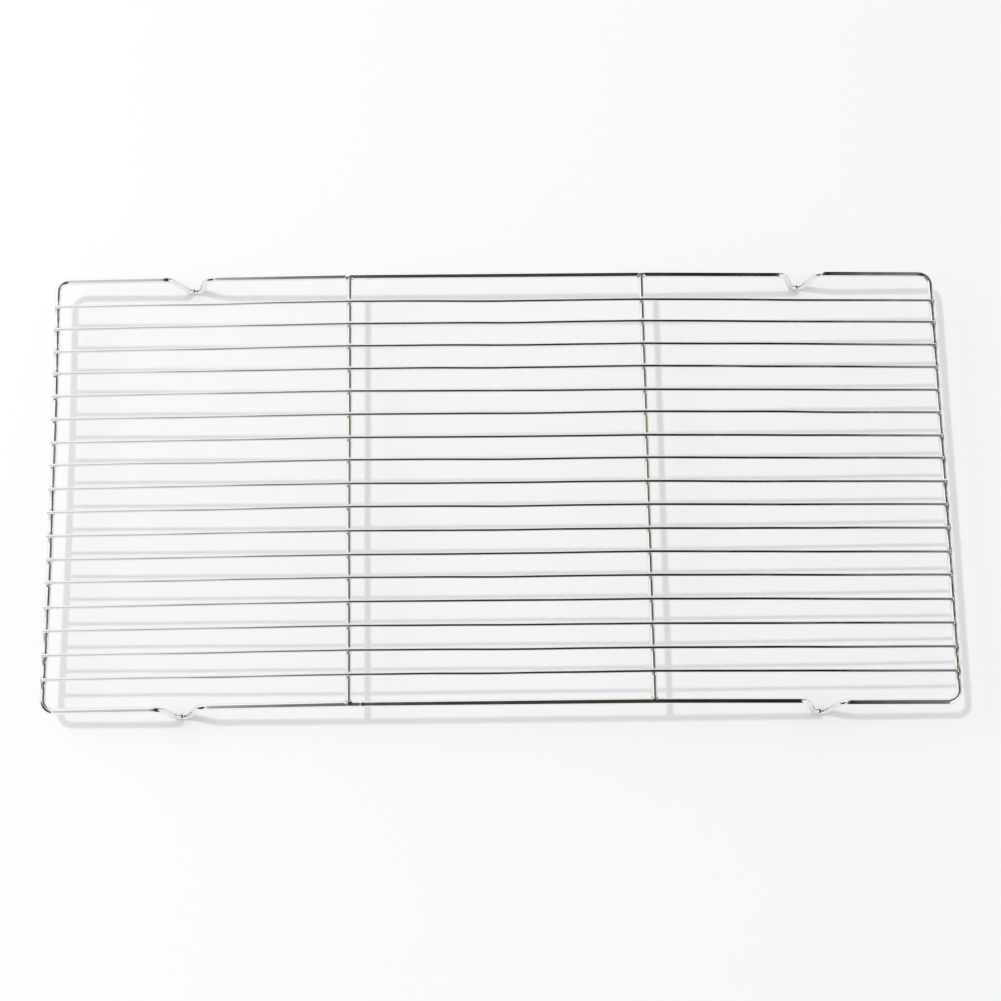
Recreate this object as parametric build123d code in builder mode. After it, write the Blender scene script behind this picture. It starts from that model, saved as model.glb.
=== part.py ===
from build123d import *
import os
from math import asin, atan2, hypot, radians, sin, tan

# A cooling rack of chromed steel wire, in millimetres: X along its length, Y across it, Z up.
# The origin is on the surface it stands on, under the middle of the rack.

# Driving dimensions
RACK_LENGTH = 460.0        # over the rim, along X
RACK_WIDTH = 232.0         # over the rim, along Y
RIM_D = 3.2                # rim wire
CROSS_D = 3.0              # cross wires, under the grid
GRID_D = 1.8               # grid wires, the surface that food lies on
GRID_COUNT = 17
GRID_PITCH = 12.45         # from one grid wire to the next
GRID_OVERHANG = 1.2        # how far a grid wire's end passes the rim's centre line
RIM_CORNER_R = 6.0         # bend radius of the rim's corners, on the centre line
END_HEIGHT = 18.2          # the rim's centre line above the ground at its two ends
CROWN = 5.0                # how much higher the rack is between its cross wires than at its ends
CROWN_BEND_R = 400.0       # the gentle bend of the rim's long sides at a cross wire
GRID_SAG = 0.8             # how far a grid wire dips halfway between the cross wires
GRID_BEND_R = 120.0        # the gentle bend of a grid wire over a cross wire

# Feet: V bends in the long sides of the rim
FOOT_X = 160.0             # a foot's tip, from the middle of the rack
FOOT_LEAN = radians(24.0)  # each leg of the V, from the vertical
FOOT_TIP_R = 3.0           # bend radius at the tip, on the centre line
FOOT_TOP_R = 5.0           # bend radius where a leg leaves the rim
FOOT_SPLAY = 0.8           # how far the tips stand outside the rim

# Depth to which one wire is pressed into another by its resistance weld
GRID_WELD = 0.12
CROSS_WELD = 0.2

# Worked out from the driving dimensions
HALF_X = (RACK_LENGTH - RIM_D) / 2          # the rim's centre line
HALF_Y = (RACK_WIDTH - RIM_D) / 2
CROSS_X = HALF_X / 3                        # the cross wires part the rim into three equal bays
CROSS_Z = END_HEIGHT + CROWN
SLOPE = CROWN / (HALF_X - CROSS_X)          # of the outer bays


def rim_height(x):
    """Height of the rim's centre line, x from the middle in an outer bay."""
    return END_HEIGHT + SLOPE * (HALF_X - x)


def foot_points():
    """The three corners of one V, in a quarter of the rim: inner top, tip and outer top."""
    arc_drop = FOOT_TIP_R * (1 / sin(FOOT_LEAN) - 1)
    tip_z = RIM_D / 2 - arc_drop
    rise = rim_height(FOOT_X) - tip_z
    spread = tan(FOOT_LEAN)
    inner_rise = rise / (1 - SLOPE * spread)
    outer_rise = rise / (1 + SLOPE * spread)
    inner = (FOOT_X - inner_rise * spread, HALF_Y, tip_z + inner_rise)
    tip = (FOOT_X, HALF_Y + FOOT_SPLAY, tip_z)
    outer = (FOOT_X + outer_rise * spread, HALF_Y, tip_z + outer_rise)
    return inner, tip, outer


def grid_points():
    """The centre line of a grid wire in the XZ plane, from its left end to its right end."""
    top_z = CROSS_Z + (CROSS_D + GRID_D) / 2 - GRID_WELD
    contact = (RIM_D + GRID_D) / 2 - GRID_WELD
    bay = HALF_X - CROSS_X
    drop = top_z - END_HEIGHT
    fall = atan2(drop, bay) - asin(contact / hypot(drop, bay))
    end_x = HALF_X + GRID_OVERHANG
    end_z = top_z - tan(fall) * (end_x - CROSS_X)
    return [(-end_x, end_z), (-CROSS_X, top_z), (0, top_z - GRID_SAG), (CROSS_X, top_z), (end_x, end_z)]


# Rim: one wire, bent to a rounded rectangle with four feet and closed by a butt weld.
# A quarter of it is swept and then mirrored twice.
inner_top, foot_tip, outer_top = foot_points()
rim_corners = [
    (0, HALF_Y, CROSS_Z),
    (CROSS_X, HALF_Y, CROSS_Z),
    inner_top,
    foot_tip,
    outer_top,
    (HALF_X, HALF_Y, END_HEIGHT),
    (HALF_X, 0, END_HEIGHT),
]
rim_radii = [CROWN_BEND_R, FOOT_TOP_R, FOOT_TIP_R, FOOT_TOP_R, RIM_CORNER_R]

with BuildPart() as rim:
    with BuildLine() as rim_path:
        FilletPolyline(*rim_corners, radius=rim_radii)
    with BuildSketch(Plane(origin=rim_corners[0], z_dir=(1, 0, 0))):
        Circle(RIM_D / 2)
    sweep(path=rim_path.line)
    mirror(about=Plane.YZ)
    mirror(about=Plane.XZ)
rim.part.label = "rim"


# Cross wires: straight pieces between the long sides of the rim, level with it
def make_cross_wire(name, x):
    reach = HALF_Y - RIM_D / 2 + CROSS_WELD
    with BuildPart() as cross_wire:
        with BuildSketch(Plane(origin=(x, 0, CROSS_Z), z_dir=(0, 1, 0))):
            Circle(CROSS_D / 2)
        extrude(amount=reach, both=True)
    cross_wire.part.label = name
    return cross_wire.part


# Grid wires: side by side on the cross wires and on the ends of the rim
def make_grid_wire(name, y):
    points = [(x, y, z) for x, z in grid_points()]
    with BuildPart() as grid_wire:
        with BuildLine() as path:
            FilletPolyline(*points, radius=GRID_BEND_R)
        with BuildSketch(Plane(origin=path.line @ 0, z_dir=path.line % 0)):
            Circle(GRID_D / 2)
        sweep(path=path.line)
    grid_wire.part.label = name
    return grid_wire.part


pieces = [
    rim.part,
    make_cross_wire("cross_wire_left", -CROSS_X),
    make_cross_wire("cross_wire_right", CROSS_X),
]
for number in range(GRID_COUNT):
    wire_y = (number - (GRID_COUNT - 1) / 2) * GRID_PITCH
    pieces.append(make_grid_wire(f"grid_wire_{number + 1:02d}", wire_y))

os.makedirs("parts", exist_ok=True)
for piece in pieces:
    export_step(piece, f"parts/{piece.label}.step")
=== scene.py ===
"""A chromed steel wire cooling rack on a pale floor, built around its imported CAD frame. Metres, Z up."""

import bpy
import math
import random
import numpy as np
from mathutils import Matrix, Quaternion, Vector


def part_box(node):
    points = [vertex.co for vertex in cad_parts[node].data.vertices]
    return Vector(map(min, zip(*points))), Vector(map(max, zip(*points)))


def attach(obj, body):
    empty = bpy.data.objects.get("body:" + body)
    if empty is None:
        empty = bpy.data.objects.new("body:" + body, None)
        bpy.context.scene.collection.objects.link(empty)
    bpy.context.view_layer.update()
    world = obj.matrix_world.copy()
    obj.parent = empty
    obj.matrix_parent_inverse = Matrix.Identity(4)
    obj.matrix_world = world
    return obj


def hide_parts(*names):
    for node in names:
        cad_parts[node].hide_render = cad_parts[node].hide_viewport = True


MM = 0.001

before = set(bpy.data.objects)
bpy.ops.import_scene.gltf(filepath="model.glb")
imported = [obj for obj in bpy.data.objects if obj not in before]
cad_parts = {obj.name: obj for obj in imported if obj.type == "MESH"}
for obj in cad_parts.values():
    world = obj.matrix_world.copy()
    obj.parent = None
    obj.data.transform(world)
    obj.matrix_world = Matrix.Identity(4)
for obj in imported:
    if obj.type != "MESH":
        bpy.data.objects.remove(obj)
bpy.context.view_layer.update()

# ---------------------------------------------------------------- driving dimensions

RIM_R = 1.6 * MM                # radii of the three wires
CROSS_R = 1.5 * MM
GRID_R = 0.9 * MM
RACK_WIDTH = 232.0 * MM         # over the rim's long sides
END_HEIGHT = 18.2 * MM          # rim centre line at the rack's two ends
RIM_CORNER_R = 6.0 * MM
CROWN_BEND_R = 400.0 * MM       # bend of the rim's long sides over a cross wire
GRID_SAG = 0.8 * MM             # sag of a grid wire between the cross wires
GRID_BEND_R = 120.0 * MM
GRID_WELD = 0.12 * MM           # set-down of a grid wire into the wire under it
CROSS_WELD = 0.2 * MM           # the same of a cross wire's end into the rim
FOOT_X = 160.0 * MM             # distance of the feet from the middle of the rack, as drawn
FOOT_LEAN = math.radians(24.0)
FOOT_TIP_R = 4.0 * MM
FOOT_SPLAY = 0.8 * MM           # how far a foot's tip leans out
FILLET = 1.3 * MM               # how far a weld's fillet spreads along each wire

rim_low, rim_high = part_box("rim")
cross_low, cross_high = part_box("cross_wire_right")
HALF_X = (rim_high[0] - rim_low[0]) / 2 - RIM_R
HALF_Y = RACK_WIDTH / 2 - RIM_R
CROSS_X = (cross_low[0] + cross_high[0]) / 2
CROSS_Z = (cross_low[2] + cross_high[2]) / 2
SLOPE = (CROSS_Z - END_HEIGHT) / (HALF_X - CROSS_X)     # fall of the rim from a cross wire to an end
GRID_NAMES = sorted(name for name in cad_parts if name.startswith("grid_wire"))


def grid_wire_y(name):
    """Where a grid wire runs, across the rack."""
    low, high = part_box(name)
    return (low[1] + high[1]) / 2


def add_object(name, data):
    """A new object in the scene."""
    made = bpy.data.objects.new(name, data)
    bpy.context.collection.objects.link(made)
    return made


# ---------------------------------------------------------------- camera

CAMERA_LENS = 94.1              # in the camera's own millimetres, as is the sensor
CAMERA_SENSOR = 36.0
CAMERA_PLACE = (-0.0247, -0.4065, 1.2931)
CAMERA_AIM = (0.00092, -0.00807, 0.020)
CAMERA_ROLL = math.radians(2.98)


def make_camera():
    """A long lens high in front of the rack, a little to the left and turned a little."""
    camera = add_object("camera", bpy.data.cameras.new("camera"))
    camera.data.lens = CAMERA_LENS
    camera.data.sensor_width = CAMERA_SENSOR
    camera.location = CAMERA_PLACE
    forward = (Vector(CAMERA_AIM) - camera.location).normalized()
    level = forward.to_track_quat("-Z", "Y")
    camera.rotation_mode = "QUATERNION"
    camera.rotation_quaternion = level @ Quaternion((0, 0, 1), CAMERA_ROLL)
    bpy.context.scene.camera = camera


make_camera()


# ---------------------------------------------------------------- paths of bent wire

ARC_STEP = 0.25 * MM            # length of the pieces that a bend is cut into
LEAST_ARC_STEPS = 4
BEND_STEP = 3.0                 # degrees of bend between two rings of a wire's mesh
COARSE = 3.0 * MM               # spacing of the rings on open straight wire
WELD_SPREAD = 2.9 * MM          # how far from a weld they are close together
LEAST_SPACING = 0.6             # the least spacing of two rings, as a share of the close spacing
STATION_DECIMALS = 6            # rings are placed to a micrometre


def bend_path(corners, radii):
    """Straight runs joined by round bends, as a fine list of points. Bends are at the inner corners."""
    corners = [Vector(c) for c in corners]
    path = [corners[0]]
    for before, corner, after, radius in zip(corners, corners[1:], corners[2:], radii):
        back = (before - corner).normalized()
        ahead = (after - corner).normalized()
        turn = math.pi - back.angle(ahead)
        reach = radius * math.tan(turn / 2)
        middle = (back + ahead).normalized()
        centre = corner + middle * radius / math.cos(turn / 2)
        start = corner + back * reach
        axis = (start - centre).cross(corner + ahead * reach - centre).normalized()
        steps = max(LEAST_ARC_STEPS, math.ceil(radius * turn / ARC_STEP))
        for step in range(steps + 1):
            spin = Matrix.Rotation(turn * step / steps, 3, axis)
            path.append(centre + spin @ (start - centre))
    path.append(corners[-1])
    return np.array([list(p) for p in path])


def lengths_along(points):
    """The distance along a path at each of its points."""
    return np.concatenate([[0.0], np.cumsum(np.linalg.norm(np.diff(points, axis=0), axis=1))])


def distance_to(points, place):
    """How far along a fine path its nearest point to a place is."""
    return lengths_along(points)[np.argmin(np.linalg.norm(points - np.array(place), axis=1))]


def resample(points, stations):
    """Points at the given distances along a fine path."""
    along = lengths_along(points)
    return np.stack([np.interp(stations, along, points[:, k]) for k in range(3)], axis=1)


def stations_for(points, close, near):
    """Distances along a path for a wire's rings: more of them in bends, and close apart near the welds."""
    along = lengths_along(points)
    total = along[-1]
    marks = list(np.arange(0.0, total, COARSE)) + [total]
    steps = np.diff(points, axis=0)
    steps /= np.linalg.norm(steps, axis=1)[:, None]
    bends = np.degrees(np.arccos(np.clip((steps[1:] * steps[:-1]).sum(1), -1, 1)))
    turned = 0.0
    for distance, bend in zip(along[1:-1], bends):
        turned += bend
        if turned > BEND_STEP:
            marks.append(distance)
            turned = 0.0
    for weld in near:
        marks.extend(np.arange(weld - WELD_SPREAD, weld + WELD_SPREAD, close))
    marks = np.unique(np.round(np.clip(marks, 0.0, total), STATION_DECIMALS))
    kept = [marks[0]]
    for mark in marks[1:]:
        if mark - kept[-1] > LEAST_SPACING * close:
            kept.append(mark)
    kept[-1] = total
    return np.array(kept)


def foot_corners(side):
    """Left top, tip and right top of one V foot, on the far side, at the rack's left or right."""
    tip_z = RIM_R - FOOT_TIP_R * (1 / math.sin(FOOT_LEAN) - 1)
    rise = END_HEIGHT + SLOPE * (HALF_X - FOOT_X) - tip_z
    spread = math.tan(FOOT_LEAN)
    heights = (rise / (1 - side * SLOPE * spread), rise / (1 + side * SLOPE * spread))
    foot_x = side * FOOT_X
    return [
        (foot_x - heights[0] * spread, HALF_Y, tip_z + heights[0]),
        (foot_x, HALF_Y + FOOT_SPLAY, tip_z),
        (foot_x + heights[1] * spread, HALF_Y, tip_z + heights[1]),
    ]


class Foot:
    """How one foot came out of the bending jig, in millimetres of stray from the drawn shape."""

    def __init__(self, tip_x, tip_out, left_x, left_r, right_x, right_r, end_out):
        self.tip_x = tip_x * MM         # tip, along X
        self.tip_out = tip_out * MM     # tip, outward
        self.left_x = left_x * MM       # left top bend, along X
        self.left_r = left_r * MM
        self.right_x = right_x * MM
        self.right_r = right_r * MM
        self.end_out = end_out * MM     # rim between this foot and its corner, outward


FEET = {
    (-1, 1): Foot(2.9, 0.6, 1.3, 6.0, -2.3, 6.5, 0.1),
    (1, 1): Foot(-0.3, 0.0, 3.1, 5.0, -1.4, 6.5, 0.75),
    (-1, -1): Foot(-0.2, -0.9, 2.1, 6.0, -2.0, 6.5, 0.9),
    (1, -1): Foot(0.4, 0.3, 3.9, 5.0, -0.5, 6.5, 0.75),
}
SETTLE_PASSES = 12
MIDDLE_IN = 0.2 * MM            # the long sides are drawn in a little between the cross wires
NEAR_RIGHT_OUT = 0.8 * MM       # the near right corner stands out a little
LEFT_BOW = 1.0 * MM             # the left end bows in, the right end out
RIGHT_BOW = 0.7 * MM
BOW_Y = 45.0 * MM               # where the left end's two slight bends are
BOW_R = 1.8                     # in metres: nearly straight
END_BAND = 2.0 * MM             # rim points this near to an end's line belong to the end


def settled(left, tip, right):
    """The tip corner, moved down until the bend through it stands on the floor."""
    for _ in range(SETTLE_PASSES):
        bend = bend_path([left, tip, right], [FOOT_TIP_R])
        tip = (tip[0], tip[1], tip[2] - (bend[:, 2].min() - RIM_R))
    return tip


def foot_bends(side_x, side_y):
    """The corners and bend radii of one foot as it was really bent, from left to right."""
    foot = FEET[side_x, side_y]
    left, tip, right = foot_corners(side_x)
    fall = -side_x * SLOPE
    left_out, right_out = (foot.end_out, 0.0) if side_x < 0 else (0.0, foot.end_out)
    left = (left[0] + foot.left_x, side_y * (HALF_Y + left_out), left[2] + fall * foot.left_x)
    tip = (tip[0] + foot.tip_x, side_y * (tip[1] + foot.tip_out), tip[2])
    right = (right[0] + foot.right_x, side_y * (HALF_Y + right_out), right[2] + fall * foot.right_x)
    tip = settled(left, tip, right)
    return [(left, foot.left_r), (tip, FOOT_TIP_R), (right, foot.right_r)]


def side_bends(side_y):
    """The bends of one long side of the rim, from its left corner to its right corner."""
    near_right = NEAR_RIGHT_OUT if side_y < 0 else 0.0
    ends = [
        (-HALF_X, side_y * (HALF_Y + FEET[-1, side_y].end_out), END_HEIGHT),
        (HALF_X + near_right, side_y * (HALF_Y + FEET[1, side_y].end_out), END_HEIGHT),
    ]
    middle_y = side_y * (HALF_Y - MIDDLE_IN)
    middle = [((x, middle_y, CROSS_Z), CROWN_BEND_R) for x in (-CROSS_X, CROSS_X)]
    bends = [(ends[0], RIM_CORNER_R)] + foot_bends(-1, side_y) + middle
    return bends + foot_bends(1, side_y) + [(ends[1], RIM_CORNER_R)]


def rim_path():
    """The whole rim once round, from the middle of its right end."""
    seam = (HALF_X + RIGHT_BOW, 0.0, END_HEIGHT)
    left_end = [((-HALF_X + LEFT_BOW, y, END_HEIGHT), BOW_R) for y in (BOW_Y, -BOW_Y)]
    bends = side_bends(1)[::-1] + left_end + side_bends(-1)
    corners = [seam] + [corner for corner, _ in bends] + [seam]
    return bend_path(corners, [radius for _, radius in bends])


RIM_LINE = rim_path()


def end_x(side, y):
    """Where the rim's left (-1) or right (1) end is, across the rack at y."""
    at_end = side * RIM_LINE[:, 0] > HALF_X - END_BAND
    straight = abs(RIM_LINE[:, 1]) < HALF_Y - RIM_CORNER_R
    rail = RIM_LINE[at_end & straight]
    rail = rail[np.argsort(rail[:, 1])]
    return float(np.interp(y, rail[:, 1], rail[:, 0]))


def grid_profile():
    """Centre line of a grid wire in the XZ plane, and its three bends' radii."""
    top = CROSS_Z + CROSS_R + GRID_R - GRID_WELD
    contact = RIM_R + GRID_R - GRID_WELD
    bay = HALF_X - CROSS_X
    drop = top - END_HEIGHT
    fall = math.atan2(drop, bay) - math.asin(contact / math.hypot(drop, bay))
    _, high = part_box(GRID_NAMES[0])
    end = high[0] - GRID_R * math.sin(fall) - GRID_R * END_ROUNDING[-1][1]
    end_z = top - math.tan(fall) * (end - CROSS_X)
    corners = [(-end, end_z), (-CROSS_X, top), (0.0, top - GRID_SAG), (CROSS_X, top), (end, end_z)]
    return corners, [GRID_BEND_R] * 3


# ---------------------------------------------------------------- hand irregularity

WAVE_HEIGHTS = (0.5, 1.0)       # range of a wave's height and length, as shares of those asked for
WAVE_LENGTHS = (0.8, 1.25)
GRID_SWAY = (0.16 * MM, (0.16, 0.07))       # amount, and lengths of the waves in metres
GRID_HEAVE = (0.28 * MM, (0.15, 0.06))
CROSS_SWAY = (0.10 * MM, (0.2, 0.08))


class Wander:
    """A smooth random drift along a wire: a few long waves with seeded phases."""

    def __init__(self, seed, amount, waves):
        maker = random.Random(seed)
        self.parts = []
        for n, wave in enumerate(waves):
            height = amount / (n + 1) * maker.uniform(*WAVE_HEIGHTS)
            rate = 2 * math.pi / (wave * maker.uniform(*WAVE_LENGTHS))
            phase = maker.uniform(0, 2 * math.pi)
            self.parts.append((height, rate, phase))

    def __call__(self, distance):
        return sum(height * np.sin(rate * distance + phase) for height, rate, phase in self.parts)


# ---------------------------------------------------------------- round wire with welded fillets

def ring_frames(points, closed):
    """Tangent and two cross directions at each point, without twist."""
    if closed:
        tangents = np.roll(points, -1, axis=0) - np.roll(points, 1, axis=0)
    else:
        tangents = np.gradient(points, axis=0)
    tangents /= np.linalg.norm(tangents, axis=1)[:, None]
    first = np.cross(tangents[0], (0.0, 0.0, 1.0))
    first /= np.linalg.norm(first)
    side, sides = first, []
    for tangent in tangents:
        side = side - tangent * np.dot(side, tangent)
        side = side / np.linalg.norm(side)
        sides.append(side)
    sides = np.array(sides)
    ups = np.cross(sides, tangents)
    if closed:
        home = sides[-1] - tangents[0] * np.dot(sides[-1], tangents[0])
        twist = math.atan2(np.dot(home, np.cross(first, tangents[0])), np.dot(home, first))
        angles = -twist * np.arange(len(points)) / len(points)
        cosines, sines = np.cos(angles)[:, None], np.sin(angles)[:, None]
        sides, ups = sides * cosines + ups * sines, ups * cosines - sides * sines
    return tangents, sides, ups


def gap_to(offsets, direction, radius, reach):
    """The distance from each point to the surface of a short straight wire through the origin."""
    along = np.clip(offsets @ direction, -reach, reach)
    return np.linalg.norm(offsets - along[:, None] * direction, axis=1) - radius


FILLET_PASSES = 7
FILLET_PACE = 0.8               # how much of the way to the fillet each pass goes
FILLET_MOST = 0.6 * FILLET      # the most that a surface point stands out
FILLET_RANGE = 3.0 * FILLET     # how far beyond a weld's reach the surface is looked at
INSIDE = 0.25 * MM              # points deeper than this in the other wire are left alone


def fillet_rise(places, normals, welds):
    """How far each surface point stands out to join the wires welded across it in a smooth fillet."""
    rise = np.zeros(len(places))
    for centre, direction, radius, reach in welds:
        near = np.linalg.norm(places - centre, axis=1) < reach + FILLET_RANGE
        if not near.any():
            continue
        local, outward = places[near], normals[near]
        lift = np.zeros(len(local))
        for _ in range(FILLET_PASSES):
            gap = gap_to(local + outward * lift[:, None] - centre, direction, radius, reach)
            blend = np.clip(FILLET - np.abs(lift - gap), 0.0, None) / FILLET
            joined = np.minimum(lift, gap) - blend * blend * FILLET / 4
            lift = np.clip(lift - FILLET_PACE * joined, 0.0, FILLET_MOST)
        lift[gap_to(local - centre, direction, radius, reach) < -INSIDE] = 0.0
        rise[near] = np.maximum(rise[near], lift)
    return rise


class Skin:
    """The vertices and faces of one wire while it is being built."""

    def __init__(self, sides):
        self.sides = sides
        self.vertices = []
        self.weld_mask = []     # per vertex: 1 on a weld's fillet, 0 on open wire
        self.faces = []
        self.uvs = []           # per face corner: length along the wire and round it, in metres

    def join_rings(self, here, there, corners, flip=False):
        """The quads between two rings, given the first vertex of each."""
        for side in range(self.sides):
            beside = (side + 1) % self.sides
            quad = (here + side, here + beside, there + beside, there + side)
            self.faces.append(quad[::-1] if flip else quad)
            self.uvs += corners(side)

    def piece(self, name):
        """The finished wire as an object."""
        mesh = bpy.data.meshes.new(name)
        mesh.from_pydata(self.vertices, [], self.faces)
        layer = mesh.uv_layers.new(name="along_wire")
        layer.data.foreach_set("uv", np.array(self.uvs, dtype=np.float32).ravel())
        shade = mesh.attributes.new("weld", "FLOAT", "POINT")
        shade.data.foreach_set("value", np.array(self.weld_mask, dtype=np.float32))
        mesh.polygons.foreach_set("use_smooth", [True] * len(mesh.polygons))
        mesh.validate()
        return add_object(name, mesh)


END_ROUNDING = ((0.05, 0.16), (0.16, 0.24), (0.36, 0.29), (0.70, 0.31))     # inset and rise, over the radius
END_LEAN = 0.18                 # how far out of square a cut may be, as a slope
END_FULL_LEAN = 0.29            # the rise from which the whole slope shows
END_UV = 1.0 * MM
WELD_FADE = 0.25 * FILLET       # rise of a fillet at which the painted shade on it is at its darkest


def end_corners(side):
    """A cut end's corners all have about the same place among the die lines."""
    return [(0.0, 0.0), (0.0, END_UV), (END_UV, END_UV), (END_UV, 0.0)]


def add_cut_end(skin, centre, frame_here, radius, first, sign, seed):
    """A sheared end: a rounded edge and a face that is a little out of square."""
    tangent, across, up = frame_here
    outward = tangent * sign
    maker = random.Random(seed)
    lean = Vector((maker.uniform(-END_LEAN, END_LEAN), maker.uniform(-END_LEAN, END_LEAN)))
    previous = first
    for inset, forward in END_ROUNDING:
        start = len(skin.vertices)
        reach = radius * (1 - inset)
        lean_shown = min(1.0, forward / END_FULL_LEAN)
        for side in range(skin.sides):
            angle = 2 * math.pi * side / skin.sides
            c, s = math.cos(angle), math.sin(angle)
            push = radius * forward + reach * (lean.x * c + lean.y * s) * lean_shown
            place = centre + across * (reach * c) + up * (reach * s) + outward * push
            skin.vertices.append(tuple(place))
            skin.weld_mask.append(0.0)
        skin.join_rings(previous, start, end_corners, flip=sign < 0)
        previous = start
    cap = tuple(range(previous, previous + skin.sides))
    skin.faces.append(cap if sign > 0 else cap[::-1])
    skin.uvs += [(0.0, 0.0)] * skin.sides


def build_wire(name, points, stations, radii, sides, closed, welds):
    """A round wire as a mesh: rings along its centre line, fillets where it is welded, and cut ends."""
    tangents, across, ups = ring_frames(points, closed)
    angles = 2 * math.pi * np.arange(sides) / sides
    cosines, sines = np.cos(angles)[None, :, None], np.sin(angles)[None, :, None]
    normals = across[:, None, :] * cosines + ups[:, None, :] * sines
    places = points[:, None, :] + normals * radii[:, None, None]
    places, normals = places.reshape(-1, 3), normals.reshape(-1, 3)
    rise = fillet_rise(places, normals, welds)
    skin = Skin(sides)
    skin.vertices = [tuple(place) for place in places + normals * rise[:, None]]
    skin.weld_mask = list(np.clip(rise / WELD_FADE, 0.0, 1.0))
    rings = len(points)
    girth = 2 * math.pi * float(np.median(radii))
    stretch = list(stations) + [stations[-1] + np.linalg.norm(points[0] - points[-1])]
    for ring in range(rings if closed else rings - 1):
        u0, u1 = stretch[ring], stretch[ring + 1]

        def corners(side):
            v0, v1 = girth * side / sides, girth * (side + 1) / sides
            return [(u0, v0), (u0, v1), (u1, v1), (u1, v0)]

        skin.join_rings(ring * sides, ((ring + 1) % rings) * sides, corners)
    if not closed:
        for ring, sign, seed in ((0, -1, 1), (rings - 1, 1, 2)):
            frame_here = (tangents[ring], across[ring], ups[ring])
            add_cut_end(skin, points[ring], frame_here, radii[ring], ring * sides, sign, f"{name}{seed}")
    return skin.piece(name)


# ---------------------------------------------------------------- the pieces

GRID_SIDES = 20                 # sides of each wire's mesh
CROSS_SIDES = 26
RIM_SIDES = 28
GRID_CLOSE = 0.22 * MM          # spacing of the rings at a weld
HEAVY_CLOSE = 0.26 * MM
GRID_POINTS = 600               # points of a fine centre line
CROSS_POINTS = 900
WELD_REACH = 4.0 * MM           # how far a fillet follows the neighbouring wire, to each side
WELD_STRAY = 0.28 * MM          # the most that a grid wire was welded out of its place
TRIM_LEAST = 0.2 * MM           # how much shorter than drawn a grid wire's end is
TRIM_MOST = 0.6 * MM
BUTT_RISE = 0.05                # ridge of the rim's butt weld, as a share of the rim's radius
BUTT_WIDTH = 0.7 * MM
X_AXIS = np.array([1.0, 0.0, 0.0])
Y_AXIS = np.array([0.0, 1.0, 0.0])
ANCHORS = (-HALF_X, -CROSS_X, CROSS_X, HALF_X)      # where the grid wires are held

weld_places = random.Random(11)
grid_shift = {(name, x): weld_places.uniform(-WELD_STRAY, WELD_STRAY) for name in GRID_NAMES for x in ANCHORS}

end_trims = random.Random(5)
end_trim = {(name, side): end_trims.uniform(TRIM_LEAST, TRIM_MOST) for name in GRID_NAMES for side in (-1, 1)}


def grid_line(name):
    """Fine centre line of one grid wire, with the small sideways offsets it was welded at."""
    corners, radii = grid_profile()
    y = grid_wire_y(name)
    points = bend_path([(x, y, z) for x, z in corners], radii)
    start = points[0, 0] + end_trim[name, -1]
    end = points[-1, 0] - end_trim[name, 1]
    run = np.linspace(start, end, GRID_POINTS)
    points = np.stack([run, np.full(GRID_POINTS, y), np.interp(run, points[:, 0], points[:, 2])], axis=1)
    shift = np.interp(run, ANCHORS, [grid_shift[name, x] for x in ANCHORS])
    free = np.sin(math.pi * np.interp(run, ANCHORS, (0.0, 1.0, 2.0, 3.0))) ** 2
    points[:, 1] += shift + free * Wander(name + " sideways", *GRID_SWAY)(run)
    points[:, 2] += free * Wander(name + " height", *GRID_HEAVE)(run)
    return points


def make_grid_wire(name):
    """One lengthwise wire, welded on the two cross wires and on the rim's two ends."""
    points = grid_line(name)
    y = grid_wire_y(name)
    welds, near = [], []
    for x in (-CROSS_X, CROSS_X):
        centre = np.array([x, y + grid_shift[name, x], CROSS_Z])
        welds.append((centre, Y_AXIS, CROSS_R, WELD_REACH))
        near.append(distance_to(points, (x, y, CROSS_Z)))
    for side in (-1, 1):
        centre = np.array([end_x(side, y), y + grid_shift[name, side * HALF_X], END_HEIGHT])
        welds.append((centre, Y_AXIS, RIM_R, WELD_REACH))
        near.append(distance_to(points, centre))
    stations = stations_for(points, GRID_CLOSE, near)
    line = resample(points, stations)
    radii = np.full(len(line), GRID_R)
    return build_wire("chrome_" + name, line, stations, radii, GRID_SIDES, False, welds)


def grid_welds(x, z_over):
    """The grid wires as they pass over a wire that runs across the rack at x."""
    return [(np.array([x, grid_wire_y(name) + grid_shift[name, x], z_over]), X_AXIS, GRID_R, WELD_REACH)
            for name in GRID_NAMES]


def make_cross_wire(name, x):
    """One of the two wires across the rack, under the grid and butted against the rim's long sides."""
    low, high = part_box(name)
    ends = [np.array([x, y, CROSS_Z]) for y in (low[1], high[1])]
    points = np.linspace(ends[0], ends[1], CROSS_POINTS)
    free = np.sin(math.pi * np.linspace(0, 1, CROSS_POINTS))
    points[:, 0] += Wander(name, *CROSS_SWAY)(points[:, 1]) * free
    welds = grid_welds(x, CROSS_Z + CROSS_R + GRID_R - GRID_WELD)
    welds += [(np.array([x, y, CROSS_Z]), X_AXIS, RIM_R, WELD_REACH) for y in (-HALF_Y, HALF_Y)]
    near = [distance_to(points, place) for place, _, _, _ in welds]
    stations = stations_for(points, HEAVY_CLOSE, near)
    line = resample(points, stations)
    radii = np.full(len(line), CROSS_R)
    return build_wire("chrome_" + name, line, stations, radii, CROSS_SIDES, False, welds)


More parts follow.
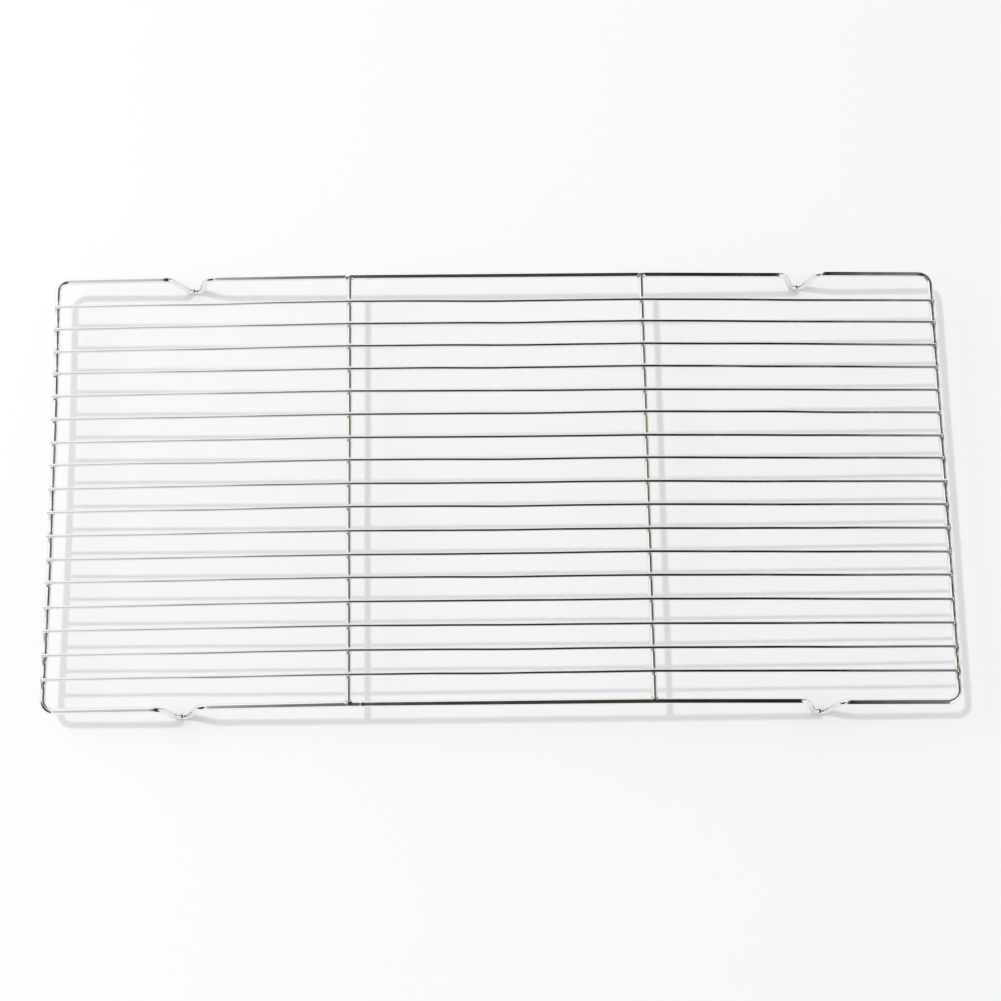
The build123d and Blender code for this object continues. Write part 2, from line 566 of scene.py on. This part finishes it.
def make_rim():
    """The rim with its four feet: one closed wire, with a small ridge at its butt weld."""
    over_end = END_HEIGHT + RIM_R + GRID_R - GRID_WELD
    welds = grid_welds(-HALF_X, over_end) + grid_welds(HALF_X, over_end)
    for x in (-CROSS_X, CROSS_X):
        for sign in (-1, 1):
            joint = np.array([x, sign * (HALF_Y - RIM_R - WELD_REACH + CROSS_WELD), CROSS_Z])
            welds.append((joint, Y_AXIS, CROSS_R, WELD_REACH))
    near = [distance_to(RIM_LINE, place) for place, _, _, _ in welds]
    butt = distance_to(RIM_LINE, (0.0, -HALF_Y, CROSS_Z))
    stations = stations_for(RIM_LINE, HEAVY_CLOSE, near + [butt])[:-1]
    line = resample(RIM_LINE, stations)
    ridge = np.exp(-((stations - butt) / BUTT_WIDTH) ** 2)
    radii = RIM_R * (1 + BUTT_RISE * ridge)
    return build_wire("chrome_rim", line, stations, radii, RIM_SIDES, True, welds)


pieces = {"rim": make_rim()}
for name, x in (("cross_wire_left", -CROSS_X), ("cross_wire_right", CROSS_X)):
    pieces[name] = make_cross_wire(name, x)
for name in GRID_NAMES:
    pieces[name] = make_grid_wire(name)
for name, piece in pieces.items():
    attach(piece, "root")
    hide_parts(name)


# ---------------------------------------------------------------- node helpers

def add_node(tree, kind, links=(), **settings):
    """A node with its settings, and with sockets given as values or as other nodes' outputs."""
    node = tree.nodes.new(kind)
    for key, value in settings.items():
        setattr(node, key, value)
    for socket, source in dict(links).items():
        if isinstance(source, bpy.types.NodeSocket):
            tree.links.new(source, node.inputs[socket])
        else:
            node.inputs[socket].default_value = source
    return node


def calculate(tree, operation, *values):
    """The result of one sum on values or on other nodes' outputs."""
    return add_node(tree, "ShaderNodeMath", enumerate(values), operation=operation).outputs[0]


def remap(tree, value, low, high, to_low=0.0, to_high=1.0, smooth=False):
    """A value's run from low to high as another run, held at both ends."""
    links = {"Value": value, "From Min": low, "From Max": high, "To Min": to_low, "To Max": to_high}
    kind = "SMOOTHSTEP" if smooth else "LINEAR"
    return add_node(tree, "ShaderNodeMapRange", links, interpolation_type=kind).outputs[0]


def noise(tree, place, scale, detail, roughness=0.5):
    """Smooth random values from 0 to 1."""
    links = {"Vector": place, "Scale": scale, "Detail": detail, "Roughness": roughness}
    return add_node(tree, "ShaderNodeTexNoise", links).outputs["Fac"]


def mix_colours(tree, amount, first, second, blend="MIX"):
    """The colour output of a mix of two colours."""
    links = {0: amount, 6: first, 7: second}
    return add_node(tree, "ShaderNodeMix", links, data_type="RGBA", blend_type=blend).outputs[2]


def ramp(tree, amount, stops):
    """A smooth run of colours over a value from 0 to 1."""
    node = add_node(tree, "ShaderNodeValToRGB", {"Fac": amount})
    points = node.color_ramp.elements
    points[0].position, points[0].color = stops[0][0], (*stops[0][1], 1)
    points[1].position, points[1].color = stops[-1][0], (*stops[-1][1], 1)
    for position, colour in stops[1:-1]:
        points.new(position).color = (*colour, 1)
    node.color_ramp.interpolation = "EASE"
    return node.outputs["Color"]


def band(tree, value, low, high, edge):
    """1 between two values and 0 outside them, with a soft edge."""
    up = remap(tree, value, low - edge, low + edge, smooth=True)
    down = remap(tree, value, high + edge, high - edge, smooth=True)
    return calculate(tree, "MULTIPLY", up, down)


# ---------------------------------------------------------------- shared node groups

def new_group(name, inputs, outputs):
    """An empty node group with its sockets, and its two end nodes."""
    group = bpy.data.node_groups.new(name, "ShaderNodeTree")
    for label, kind, value in inputs:
        group.interface.new_socket(label, in_out="INPUT", socket_type=kind).default_value = value
    for label, kind in outputs:
        group.interface.new_socket(label, in_out="OUTPUT", socket_type=kind)
    return group, group.nodes.new("NodeGroupInput"), group.nodes.new("NodeGroupOutput")


def drawing_lines_group():
    """Fine die lines along a drawn wire, from its length and girth coordinates."""
    inputs = [("Across", "NodeSocketFloat", 4000.0), ("Along", "NodeSocketFloat", 25.0)]
    group, given, result = new_group("drawing_lines", inputs, [("Height", "NodeSocketFloat")])
    place = add_node(group, "ShaderNodeUVMap", uv_map="along_wire")
    parts = add_node(group, "ShaderNodeSeparateXYZ", {"Vector": place.outputs["UV"]})
    along = calculate(group, "MULTIPLY", parts.outputs["X"], given.outputs["Along"])
    across = calculate(group, "MULTIPLY", parts.outputs["Y"], given.outputs["Across"])
    joined = add_node(group, "ShaderNodeCombineXYZ", {"X": along, "Y": across})
    lines = noise(group, joined.outputs[0], scale=1.0, detail=3.0, roughness=0.6)
    group.links.new(lines, result.inputs["Height"])
    return group


COOL_CAST = (0.98, 1.0, 0.99, 1)        # the two ends of the plate's faint drift in hue
WARM_CAST = (1.0, 0.98, 0.965, 1)


def plate_and_weld_shade_group():
    """Plate colour: bright on the open wire, and darker and a touch warm on a weld's fillet as painted shade,
    where the haze also rises.
    """
    inputs = [
        ("Bright", "NodeSocketColor", (0.9, 0.9, 0.9, 1)),
        ("Painted Shade", "NodeSocketColor", (0.3, 0.28, 0.25, 1)),
        ("Weld Shade", "NodeSocketFloat", 0.7),
    ]
    outputs = [("Color", "NodeSocketColor"), ("Haze", "NodeSocketFloat")]
    group, given, result = new_group("plate_and_weld_shade", inputs, outputs)
    place = add_node(group, "ShaderNodeTexCoord").outputs["Object"]
    weld = add_node(group, "ShaderNodeAttribute", attribute_name="weld").outputs["Fac"]
    mottle = noise(group, place, scale=900.0, detail=3.0)
    uneven = remap(group, mottle, 0.3, 0.7, to_low=0.6)
    # Painted shade: the plate colour is darkened towards a dark warm colour on a weld's fillet.
    shaded = calculate(group, "MULTIPLY", weld, given.outputs["Weld Shade"])
    weld_shade_and_haze = calculate(group, "MULTIPLY", shaded, uneven)
    drift = noise(group, place, scale=22.0, detail=2.0)
    swing = remap(group, drift, 0.35, 0.65)
    cast = mix_colours(group, swing, COOL_CAST, WARM_CAST)
    plate = mix_colours(group, 1.0, given.outputs["Bright"], cast, blend="MULTIPLY")
    tone = mix_colours(group, weld_shade_and_haze, plate, given.outputs["Painted Shade"])
    film = noise(group, place, scale=60.0, detail=4.0)
    haze = calculate(group, "ADD", remap(group, film, 0.45, 0.75), weld_shade_and_haze)
    group.links.new(tone, result.inputs["Color"])
    group.links.new(haze, result.inputs["Haze"])
    return group


drawing_lines = drawing_lines_group()
plate_and_weld_shade = plate_and_weld_shade_group()


# ---------------------------------------------------------------- materials

HAZE_ROUGHNESS = 0.16           # what full haze adds to the roughness
LINE_HEIGHT = 0.02 * MM         # of the die lines


def principled(name):
    """A new material, its tree and its surface node."""
    material = bpy.data.materials.new(name)
    material.use_nodes = True
    return material, material.node_tree, material.node_tree.nodes["Principled BSDF"]


def make_chrome(name, bright, rough, line_depth, line_scale, weld_shade):
    """Bright chrome on drawn wire: die lines, a faint film of handling haze, and painted shade at the welds,
    which are also rougher.
    """
    material, tree, shader = principled(name)
    shader.inputs["Metallic"].default_value = 1.0
    tone = add_node(tree, "ShaderNodeGroup", node_tree=plate_and_weld_shade)
    tone.inputs["Bright"].default_value = bright
    tone.inputs["Weld Shade"].default_value = weld_shade
    lines = add_node(tree, "ShaderNodeGroup", node_tree=drawing_lines)
    lines.inputs["Across"].default_value = line_scale
    roughness = remap(tree, tone.outputs["Haze"], 0.0, 1.0, to_low=rough, to_high=rough + HAZE_ROUGHNESS)
    relief = {"Height": lines.outputs["Height"], "Strength": line_depth, "Distance": LINE_HEIGHT}
    bump = add_node(tree, "ShaderNodeBump", relief)
    tree.links.new(tone.outputs["Color"], shader.inputs["Base Color"])
    tree.links.new(roughness, shader.inputs["Roughness"])
    tree.links.new(bump.outputs["Normal"], shader.inputs["Normal"])
    return material


# Tint, roughness, strength and count per metre of the die lines, and painted shade at the welds.
chromes = {
    "rim": make_chrome("rim_chrome", (0.90, 0.91, 0.91, 1), 0.07, 0.25, 3500.0, 0.6),
    "cross_wire": make_chrome("cross_wire_chrome", (0.88, 0.89, 0.89, 1), 0.08, 0.3, 3800.0, 0.7),
    "grid_wire": make_chrome("grid_wire_chrome", (0.88, 0.89, 0.90, 1), 0.09, 0.35, 5500.0, 0.7),
}
for name, piece in pieces.items():
    kind = next(kind for kind in chromes if name.startswith(kind))
    piece.data.materials.append(chromes[kind])


# ---------------------------------------------------------------- floor

FLOOR_HALF = 30.0               # wide enough to meet the horizon in a low view
TABLE_DARK = (0.90, 0.90, 0.90, 1)
TABLE_LIGHT = (0.915, 0.915, 0.915, 1)


def make_floor():
    """A matt white table top with the faintest mottle."""
    material, tree, shader = principled("white_table")
    place = add_node(tree, "ShaderNodeTexCoord").outputs["Object"]
    mottle = noise(tree, place, scale=6.0, detail=3.0)
    white = mix_colours(tree, mottle, TABLE_DARK, TABLE_LIGHT)
    tree.links.new(white, shader.inputs["Base Color"])
    shader.inputs["Roughness"].default_value = 0.7
    shader.inputs["Specular IOR Level"].default_value = 0.15
    mesh = bpy.data.meshes.new("floor")
    corners = [(x * FLOOR_HALF, y * FLOOR_HALF, 0) for x, y in ((-1, -1), (1, -1), (1, 1), (-1, 1))]
    mesh.from_pydata(corners, [], [(0, 1, 2, 3)])
    mesh.materials.append(material)
    plane = add_object("floor", mesh)


# ---------------------------------------------------------------- the room that the wire reflects

ROOM_R = 1.3                    # how far off the room in the reflections is
ROOM_LENGTH = 8.0
ROOM_STEPS = 64
WHITE = (1.1, 1.1, 1.1, 1)
UNLIT = (0.05, 0.05, 0.055, 1)

# Directions are in degrees round X from +Y over the top, and places are along X in metres.
OVERHEAD = 111.0                # middle of the dark overhead part
OVERHEAD_HALF = (35.0, 75.0)    # half its width at its narrow left and its broad right
OVERHEAD_RUN = (-0.6, 0.25)     # the places of those two
OVERHEAD_EDGE = (1.12, 0.9)     # its soft edge, as shares of the half width
OVERHEAD_END = (3.4, 2.4)       # its far right end
DIM_RUN = (-0.7, 0.5)
DIM_STOPS = (                   # its colours from left to right
    (0.0, (1.0, 1.0, 1.0)),
    (0.24, (0.60, 0.60, 0.59)),
    (0.38, (0.19, 0.18, 0.16)),
    (0.54, (0.060, 0.048, 0.036)),
    (0.68, (0.050, 0.043, 0.032)),
    (0.89, (0.016, 0.019, 0.011)),
)
SHELF_FADE = (0.42, 0.62)       # where the shelves at the far right begin
SHELF_RUN = (57.0, 81.0)
SHELF_STOPS = (                 # their colours round X
    (0.0, (0.24, 0.24, 0.23)),
    (0.18, (0.17, 0.18, 0.18)),
    (0.28, (0.12, 0.12, 0.12)),
    (0.44, (1.00, 0.80, 0.48)),
    (0.58, (0.26, 0.26, 0.26)),
    (0.73, (0.016, 0.018, 0.014)),
    (0.88, (0.30, 0.30, 0.29)),
)
PANE = ((0.66, 5.0, 0.06), (92.0, 172.0, 3.0))          # low, high and soft edge along X and round X
DOORWAY = ((-5.0, -0.72, 0.05), (84.0, 176.0, 4.0))


def patch(tree, across, turn, part):
    """1 on one part of the room and 0 outside it."""
    along, round_x = part
    along = band(tree, across, *along)
    round_x = band(tree, turn, *(math.radians(value) for value in round_x))
    return calculate(tree, "MULTIPLY", along, round_x)


def overhead(tree, across, turn):
    """1 on the dark part of the room overhead, which is narrow to the left and broad to the right."""
    half = remap(tree, across, *OVERHEAD_RUN, *(math.radians(value) for value in OVERHEAD_HALF))
    off = calculate(tree, "SUBTRACT", turn, math.radians(OVERHEAD))
    off = calculate(tree, "DIVIDE", calculate(tree, "ABSOLUTE", off), half)
    inside = remap(tree, off, *OVERHEAD_EDGE, smooth=True)
    ending = remap(tree, across, *OVERHEAD_END, smooth=True)
    return calculate(tree, "MULTIPLY", inside, ending)


def far_shelves(tree, turn):
    """The dim right of the room, which only the crosswise wires mirror: lit wood and unlit bays."""
    run = remap(tree, turn, *(math.radians(value) for value in SHELF_RUN))
    return ramp(tree, run, SHELF_STOPS)


def room_glow():
    """White walls low down all round; overhead a dim room, pale to the left and nearly black to the right.

    An unlit doorway at the front left shows only to someone who looks along a wire, and a bright pane
    on the front right shows only in the bends.
    """
    material = bpy.data.materials.new("room_glow")
    material.use_nodes = True
    tree = material.node_tree
    tree.nodes.remove(tree.nodes["Principled BSDF"])
    place = add_node(tree, "ShaderNodeTexCoord")
    parts = add_node(tree, "ShaderNodeSeparateXYZ", {"Vector": place.outputs["Object"]})
    across = parts.outputs["X"]
    turn = calculate(tree, "ARCTAN2", parts.outputs["Z"], parts.outputs["Y"])
    dim = ramp(tree, remap(tree, across, *DIM_RUN), DIM_STOPS)
    dim = mix_colours(tree, remap(tree, across, *SHELF_FADE), dim, far_shelves(tree, turn))
    colour = mix_colours(tree, overhead(tree, across, turn), WHITE, dim)
    colour = mix_colours(tree, patch(tree, across, turn, DOORWAY), colour, UNLIT)
    colour = mix_colours(tree, patch(tree, across, turn, PANE), colour, WHITE)
    glow = add_node(tree, "ShaderNodeEmission", {"Color": colour, "Strength": 1.0})
    tree.links.new(glow.outputs[0], tree.nodes["Material Output"].inputs["Surface"])
    return material


def make_room():
    """What the bright wire mirrors: a long half-round room along X, seen in reflections only."""
    vertices, faces = [], []
    for step in range(ROOM_STEPS + 1):
        angle = math.pi * step / ROOM_STEPS
        for x in (-ROOM_LENGTH / 2, ROOM_LENGTH / 2):
            vertices.append((x, ROOM_R * math.cos(angle), ROOM_R * math.sin(angle)))
    for step in range(ROOM_STEPS):
        near = 2 * step
        faces.append((near, near + 1, near + 3, near + 2))
    mesh = bpy.data.meshes.new("room")
    mesh.from_pydata(vertices, [], faces)
    mesh.materials.append(room_glow())
    room = add_object("room", mesh)
    room.visible_camera = False
    room.visible_diffuse = False
    room.visible_shadow = False
    room.visible_transmission = False


# ---------------------------------------------------------------- lights

KEY_DIRECTION = (-0.39, 0.14, 1.0)
KEY_DISTANCE = 7.0
KEY_SIZE = 0.42                 # sizes in metres and powers in watts
KEY_POWER = 118.0
WINDOW_PLACE = (-1.1, 0.1, 1.0)
WINDOW_SIZE = 0.9
WINDOW_POWER = 3.4
WALLS_STRENGTH = 0.745


def make_lamp(name, place, size, power):
    """A round soft lamp that shines on the middle of the rack and isn't mirrored in it."""
    lamp = bpy.data.lights.new(name, "AREA")
    lamp.shape = "DISK"
    lamp.size = size
    lamp.energy = power
    lit = add_object(name, lamp)
    lit.location = place
    lit.rotation_mode = "QUATERNION"
    lit.rotation_quaternion = Vector(place).to_track_quat("Z", "Y")
    lit.visible_glossy = False


def make_lights():
    """A far key lamp high to the left for crisp parallel shadows, a window at the left, and white walls."""
    make_lamp("key_lamp", Vector(KEY_DIRECTION).normalized() * KEY_DISTANCE, KEY_SIZE, KEY_POWER)
    make_lamp("window", WINDOW_PLACE, WINDOW_SIZE, WINDOW_POWER)
    world = bpy.data.worlds.new("white_walls")
    world.use_nodes = True
    background = world.node_tree.nodes["Background"]
    background.inputs["Color"].default_value = (1, 1, 1, 1)
    background.inputs["Strength"].default_value = WALLS_STRENGTH
    bpy.context.scene.world = world


make_floor()
make_room()
make_lights()
bpy.context.scene.view_settings.view_transform = "Standard"
